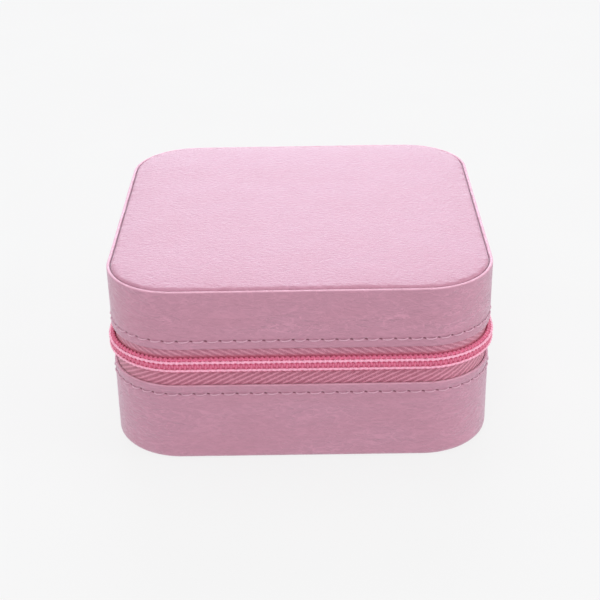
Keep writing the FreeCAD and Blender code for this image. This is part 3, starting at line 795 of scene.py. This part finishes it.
def hinge_parts():
    bulge = 0.62
    strip = hinge_sheet("hinge_leather", SPINE_HALF, BASE_EDGE - HINGE_TUCK, LID_EDGE + HINGE_TUCK,
                        TAPE_FACE - 0.58, 0.55, bulge, plain_leather)
    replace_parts(strip, "leather_hinge_strip")
    paths = []
    rows = np.linspace(BASE_EDGE + 0.7, LID_EDGE - 0.7, 5)
    t = np.linspace(-1, 1, 9)
    for x in (-SPINE_HALF + 1.6, SPINE_HALF - 1.6):
        for start, end in zip(rows, rows[1:]):
            z = (start + end) / 2 + t * (end - start) * 0.42
            swell = np.clip(1 - ((z - rows.mean()) / (LID_EDGE - BASE_EDGE) * 2) ** 2, 0, 1)
            s = np.full(len(t), AROUND / 2 - x)
            paths.append(place(s, TAPE_FACE - 0.4 + bulge * swell + 0.4 * (1 - t**4), z))
    ends = tubes("hinge_end_seams", paths, [THREAD] * len(paths), 7, seam_thread, None)
    bend_at_back(ends)
    facing = hinge_sheet("hinge_velvet", SPINE_HALF - 2, BASE_EDGE - 0.4, LID_EDGE + 0.4,
                         TAPE_FACE - 1.2, 0.5, 0.0, pink_velvet)
    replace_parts(facing, "hinge_facing")


# ---------------------------------------------------------------- linings and tray
def liner(name, node_name, low, high, rim_up, body):
    """A velvet-covered liner wall with a rounded rim."""
    inner, outer, r = -LINER_OUT - 1.2, -LINER_OUT - 0.02, 0.58
    rim, foot = (high - r, low) if rim_up else (low + r, high)
    turn = (0, 180) if rim_up else (0, -180)
    middle = (inner + outer) / 2
    profile = [(outer, foot)] + arc(middle, rim, r, *turn, 9)
    profile += [(inner, z) for z in np.linspace(rim, foot, 12)[1:]]

    def nap(s, out, level):
        spots = place(s, out, level)
        return out + np.where(out < middle, 0.06 * wave(spots, 6.0), 0), level

    piece = wall(name, profile, round_stations[::3], pink_velvet, body, nap)
    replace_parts(piece, node_name)


def soft_roll(index):
    """A ring roll: foam in velvet, rounded over the top, with soft ends and a slightly uneven skin."""
    name = f"ring_roll_{index}"
    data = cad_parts[name].data.copy()
    piece = bpy.data.objects.new(f"soft_roll_{index}", data)
    bpy.context.scene.collection.objects.link(piece)
    weld = piece.modifiers.new("weld", "WELD")
    weld.merge_threshold = 0.002 * MM
    remesh = piece.modifiers.new("remesh", "REMESH")
    remesh.mode, remesh.voxel_size = "VOXEL", 0.7 * MM
    relax = piece.modifiers.new("relax", "SMOOTH")
    relax.factor, relax.iterations = 0.5, 10
    graph = bpy.context.evaluated_depsgraph_get()
    data = bpy.data.meshes.new_from_object(piece.evaluated_get(graph))
    piece.modifiers.clear()
    piece.data = data
    count = len(data.vertices)
    spots, normals = np.zeros(count * 3), np.zeros(count * 3)
    data.vertices.foreach_get("co", spots)
    data.vertices.foreach_get("normal", normals)
    spots, normals = spots.reshape(-1, 3) / MM, normals.reshape(-1, 3)
    above = np.clip((spots[:, 2] - FLOOR) / 3, 0, 1)
    swell = (0.16 * wave(spots, 9.0, index) + 0.05 * wave(spots, 2.6, index * 3.0)) * above
    spots = spots + normals * swell[:, None]
    data.vertices.foreach_set("co", (spots * MM).ravel())
    data.shade_smooth()
    dress(piece, pink_velvet, "base")
    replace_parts(piece, name)


def edge_cover(name, board_edge, up, body):
    """Velvet tucked round the board's edge, between the tape and the liner."""
    outer, inner = -LEATHER - 0.68, 0.04 - LINER_OUT
    middle, radius = (inner + outer) / 2, (outer - inner) / 2
    top = board_edge + up * 1.3
    profile = [(outer, board_edge)]
    profile += arc(middle, top, radius, 0, 180 * up, 9)
    profile += [(inner, board_edge)]
    wall(name, profile, round_stations[::3], pink_velvet, body)


def tray():
    edge_cover("base_edge_cover", limits("base_board")[1].z + 0.03, 1, "base")
    edge_cover("lid_edge_cover", limits("lid_board")[0].z - 0.03, -1, "lid")
    liner("base_liner", "base_liner_wall", FLOOR, limits("base_liner_wall")[1].z, True, "base")
    liner("lid_liner", "lid_liner_wall", limits("lid_liner_wall")[0].z, CEILING, False, "lid")
    for node_name in ("base_floor_lining", "lid_ceiling_lining"):
        recolour(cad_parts[node_name], pink_velvet)
    for node_name in ("base_board", "lid_board"):
        recolour(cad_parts[node_name], grey_board)
    refine("tray_partition", "partition", 0.5, pink_velvet, "base")
    refine("divider_front", "front_divider", 0.5, pink_velvet, "divider_front")
    refine("divider_back", "back_divider", 0.5, pink_velvet, "divider_back")
    for index in range(1, 8):
        soft_roll(index)


# ---------------------------------------------------------------- inside the lid
def pocket():
    """A gathered pouch, sewn to the ceiling at its sides and back, with elastic along its mouth."""
    low, high = limits("elastic_pocket")
    drop = CEILING - low.z
    half = high.x
    v, u = np.meshgrid(np.linspace(0, 1, 56), np.linspace(-1, 1, 150), indexing="ij")
    y = low.y + (high.y - low.y) * v
    corner = HALF - CORNER
    reach = CORNER - (HALF - high.y) - 0.4
    beside = np.clip(reach**2 - np.clip(y - corner, 0, None) ** 2, 0, None)
    x = u * np.minimum(half, corner + np.sqrt(beside))
    side = 1 - np.abs(u) ** 7
    back = 1 - v**6
    mouth = np.exp(-v / 0.16)
    spots = np.stack([x, y, np.zeros_like(x)], -1)
    gather = np.sin(x * 2 * math.pi / GATHER_PITCH + 1.6 * wave(spots, 9.0, 1.0))
    hang = (drop - 0.9) * (1 - 0.32 * mouth) * side * back
    hang = hang + (0.62 * gather * mouth + 0.3 * wave(spots, 8.0, 3.0)) * side * back
    z = CEILING - 0.12 - np.clip(hang, 0.0, drop)
    under = np.stack([x, y, z], -1).reshape(-1, 3)
    inner = under + [0, 0, 0.55]
    inner[:, 2] = np.minimum(inner[:, 2], CEILING - 0.02)
    faces = cloth_faces(*x.shape)
    piece = mesh("gathered_pocket", np.concatenate([under, inner]), faces, pocket_velvet, "lid")
    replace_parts(piece, "elastic_pocket")
    pocket_band(half, drop, limits("pocket_elastic")[0].y, low.y)


def pocket_band(half, drop, front, back):
    """The elastic along the pocket's mouth, ribbed and drawn up with the gathers."""
    thick = 0.95
    loop = [(0, 0)] + [(t, 0.9 + 0.18 * math.sin(t * 9.0)) for t in np.linspace(0, 1, 12)] + [(1, 0)]
    points = []
    shares = np.linspace(-1, 1, 220)
    for share in shares:
        held = 1 - abs(share) ** 7
        hang = (drop - 0.9) * 0.68 * held
        wobble = 0.25 * math.sin(share * half * 2 * math.pi / GATHER_PITCH) * held
        level = CEILING - 0.1 - max(hang + wobble, thick)
        points += [(share * half, front + (back - front) * t, level + thick - rise) for t, rise in loop]
    faces = grid_faces(len(shares), len(loop), wrap_columns=True) + end_caps(len(points), len(loop))
    band = mesh("pocket_band", points, faces, elastic, "lid")
    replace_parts(band, "pocket_elastic")


def lid_fittings():
    pocket()
    refine("necklace_strip", "snap_strip", 0.3, pink_velvet, "lid")
    refine("snap_studs", "studs", 0.12, gilt_metal, "lid")
    for i in (1, 2, 3):
        refine(f"hook_strap_{i}", f"strap_{i}", 0.25, pink_velvet, f"hook_{i}")
        refine(f"snap_cap_{i}", f"cap_{i}", 0.12, gilt_metal, f"hook_{i}")


# ---------------------------------------------------------------- floor, light and camera
YAW, ELEVATION, ROLL = math.radians(0.55), math.radians(27.5), math.radians(-1.11)
DISTANCE, ASIDE, ABOVE = 393.2, -0.36, 18.43
FOCAL_MM = 79.3
FLOOR_GLOW = 0.825  # a pale floor that takes almost no shadow


def camera():
    level = math.cos(ELEVATION)
    back = Vector((math.sin(YAW) * level, -math.cos(YAW) * level, math.sin(ELEVATION)))
    right = Vector((math.cos(YAW), math.sin(YAW), 0))
    up = back.cross(right)
    spot = back * DISTANCE + right * ASIDE + up * ABOVE
    turned_right = right * math.cos(ROLL) + up * math.sin(ROLL)
    turned_up = up * math.cos(ROLL) - right * math.sin(ROLL)
    turn = Matrix((turned_right, turned_up, back)).transposed()
    data = bpy.data.cameras.new("camera")
    data.lens = FOCAL_MM
    data.sensor_width = 36.0
    data.clip_start = 0.01
    eye = bpy.data.objects.new("camera", data)
    eye.matrix_world = Matrix.Translation(spot * MM) @ turn.to_4x4()
    bpy.context.scene.collection.objects.link(eye)
    bpy.context.scene.camera = eye


def softbox(name, spot, aim, size, power, colour=(1, 1, 1)):
    """A round soft light at spot, facing aim, in metres and watts."""
    data = bpy.data.lights.new(name, "AREA")
    data.shape = "DISK"
    data.size = size
    data.energy = power
    data.color = colour
    lamp = bpy.data.objects.new(name, data)
    spot, aim = Vector(spot), Vector(aim)
    turn = (spot - aim).to_track_quat("Z", "Y").to_matrix()
    lamp.matrix_world = Matrix.Translation(spot) @ turn.to_4x4()
    bpy.context.scene.collection.objects.link(lamp)


def studio():
    """A pale floor that sweeps up into a backdrop all round, and five soft lights, in metres."""
    sweep = [(0.001, 0.0), (4.0, 0.0), (5.4, 0.1), (6.2, 0.5), (6.6, 1.6)]
    turns = np.linspace(0, 2 * math.pi, 64, endpoint=False)
    points = [(r * math.cos(t), r * math.sin(t), high) for r, high in sweep for t in turns]
    data = bpy.data.meshes.new("floor")
    data.from_pydata(points, [], grid_faces(len(sweep), len(turns), wrap_columns=True))
    data.shade_smooth()
    material, tree, shader = blank("floor", Roughness=0.9, Specular_IOR_Level=0.0,
                                   Emission_Strength=FLOOR_GLOW, Emission_Color=(1, 1, 1, 1))
    speck = node(tree, "TexNoise", {"Vector": in_mm(tree), "Scale": 0.02, "Detail": 2.0})
    tone = mix(tree, speck.outputs["Fac"], (0.075, 0.075, 0.075, 1), (0.085, 0.085, 0.085, 1))
    tree.links.new(tone, shader.inputs["Base Color"])
    floor = bpy.data.objects.new("floor", data)
    floor.data.materials.append(material)
    bpy.context.scene.collection.objects.link(floor)
    world = bpy.data.worlds.new("studio")
    world.use_nodes = True
    sky = world.node_tree.nodes["Background"]
    sky.inputs["Color"].default_value = (0.98, 0.99, 1.0, 1)
    sky.inputs["Strength"].default_value = 0.5
    bpy.context.scene.world = world
    softbox("key", (-0.1, -1.0, 0.9), (0, 0, 0.03), 0.9, 5.0)
    softbox("overhead", (0.0, 0.15, 1.1), (0, 0, 0.03), 0.9, 4.0)
    softbox("back_glow", (0.0, 2.6, 1.3), (0, 0, 0.05), 2.4, 62.0, (0.87, 0.87, 1.0))
    softbox("right_edge", (1.2, -0.2, 0.5), (0, 0, 0.03), 0.7, 5.0)
    softbox("left_edge", (-1.2, 0.1, 0.5), (0, 0, 0.03), 0.7, 2.5)
    bpy.context.scene.view_settings.view_transform = "Standard"


camera()
studio()
lid_band()
base_band()
lid_pad()
underside()
seams()
zip_parts()
hinge_parts()
tray()
lid_fittings()
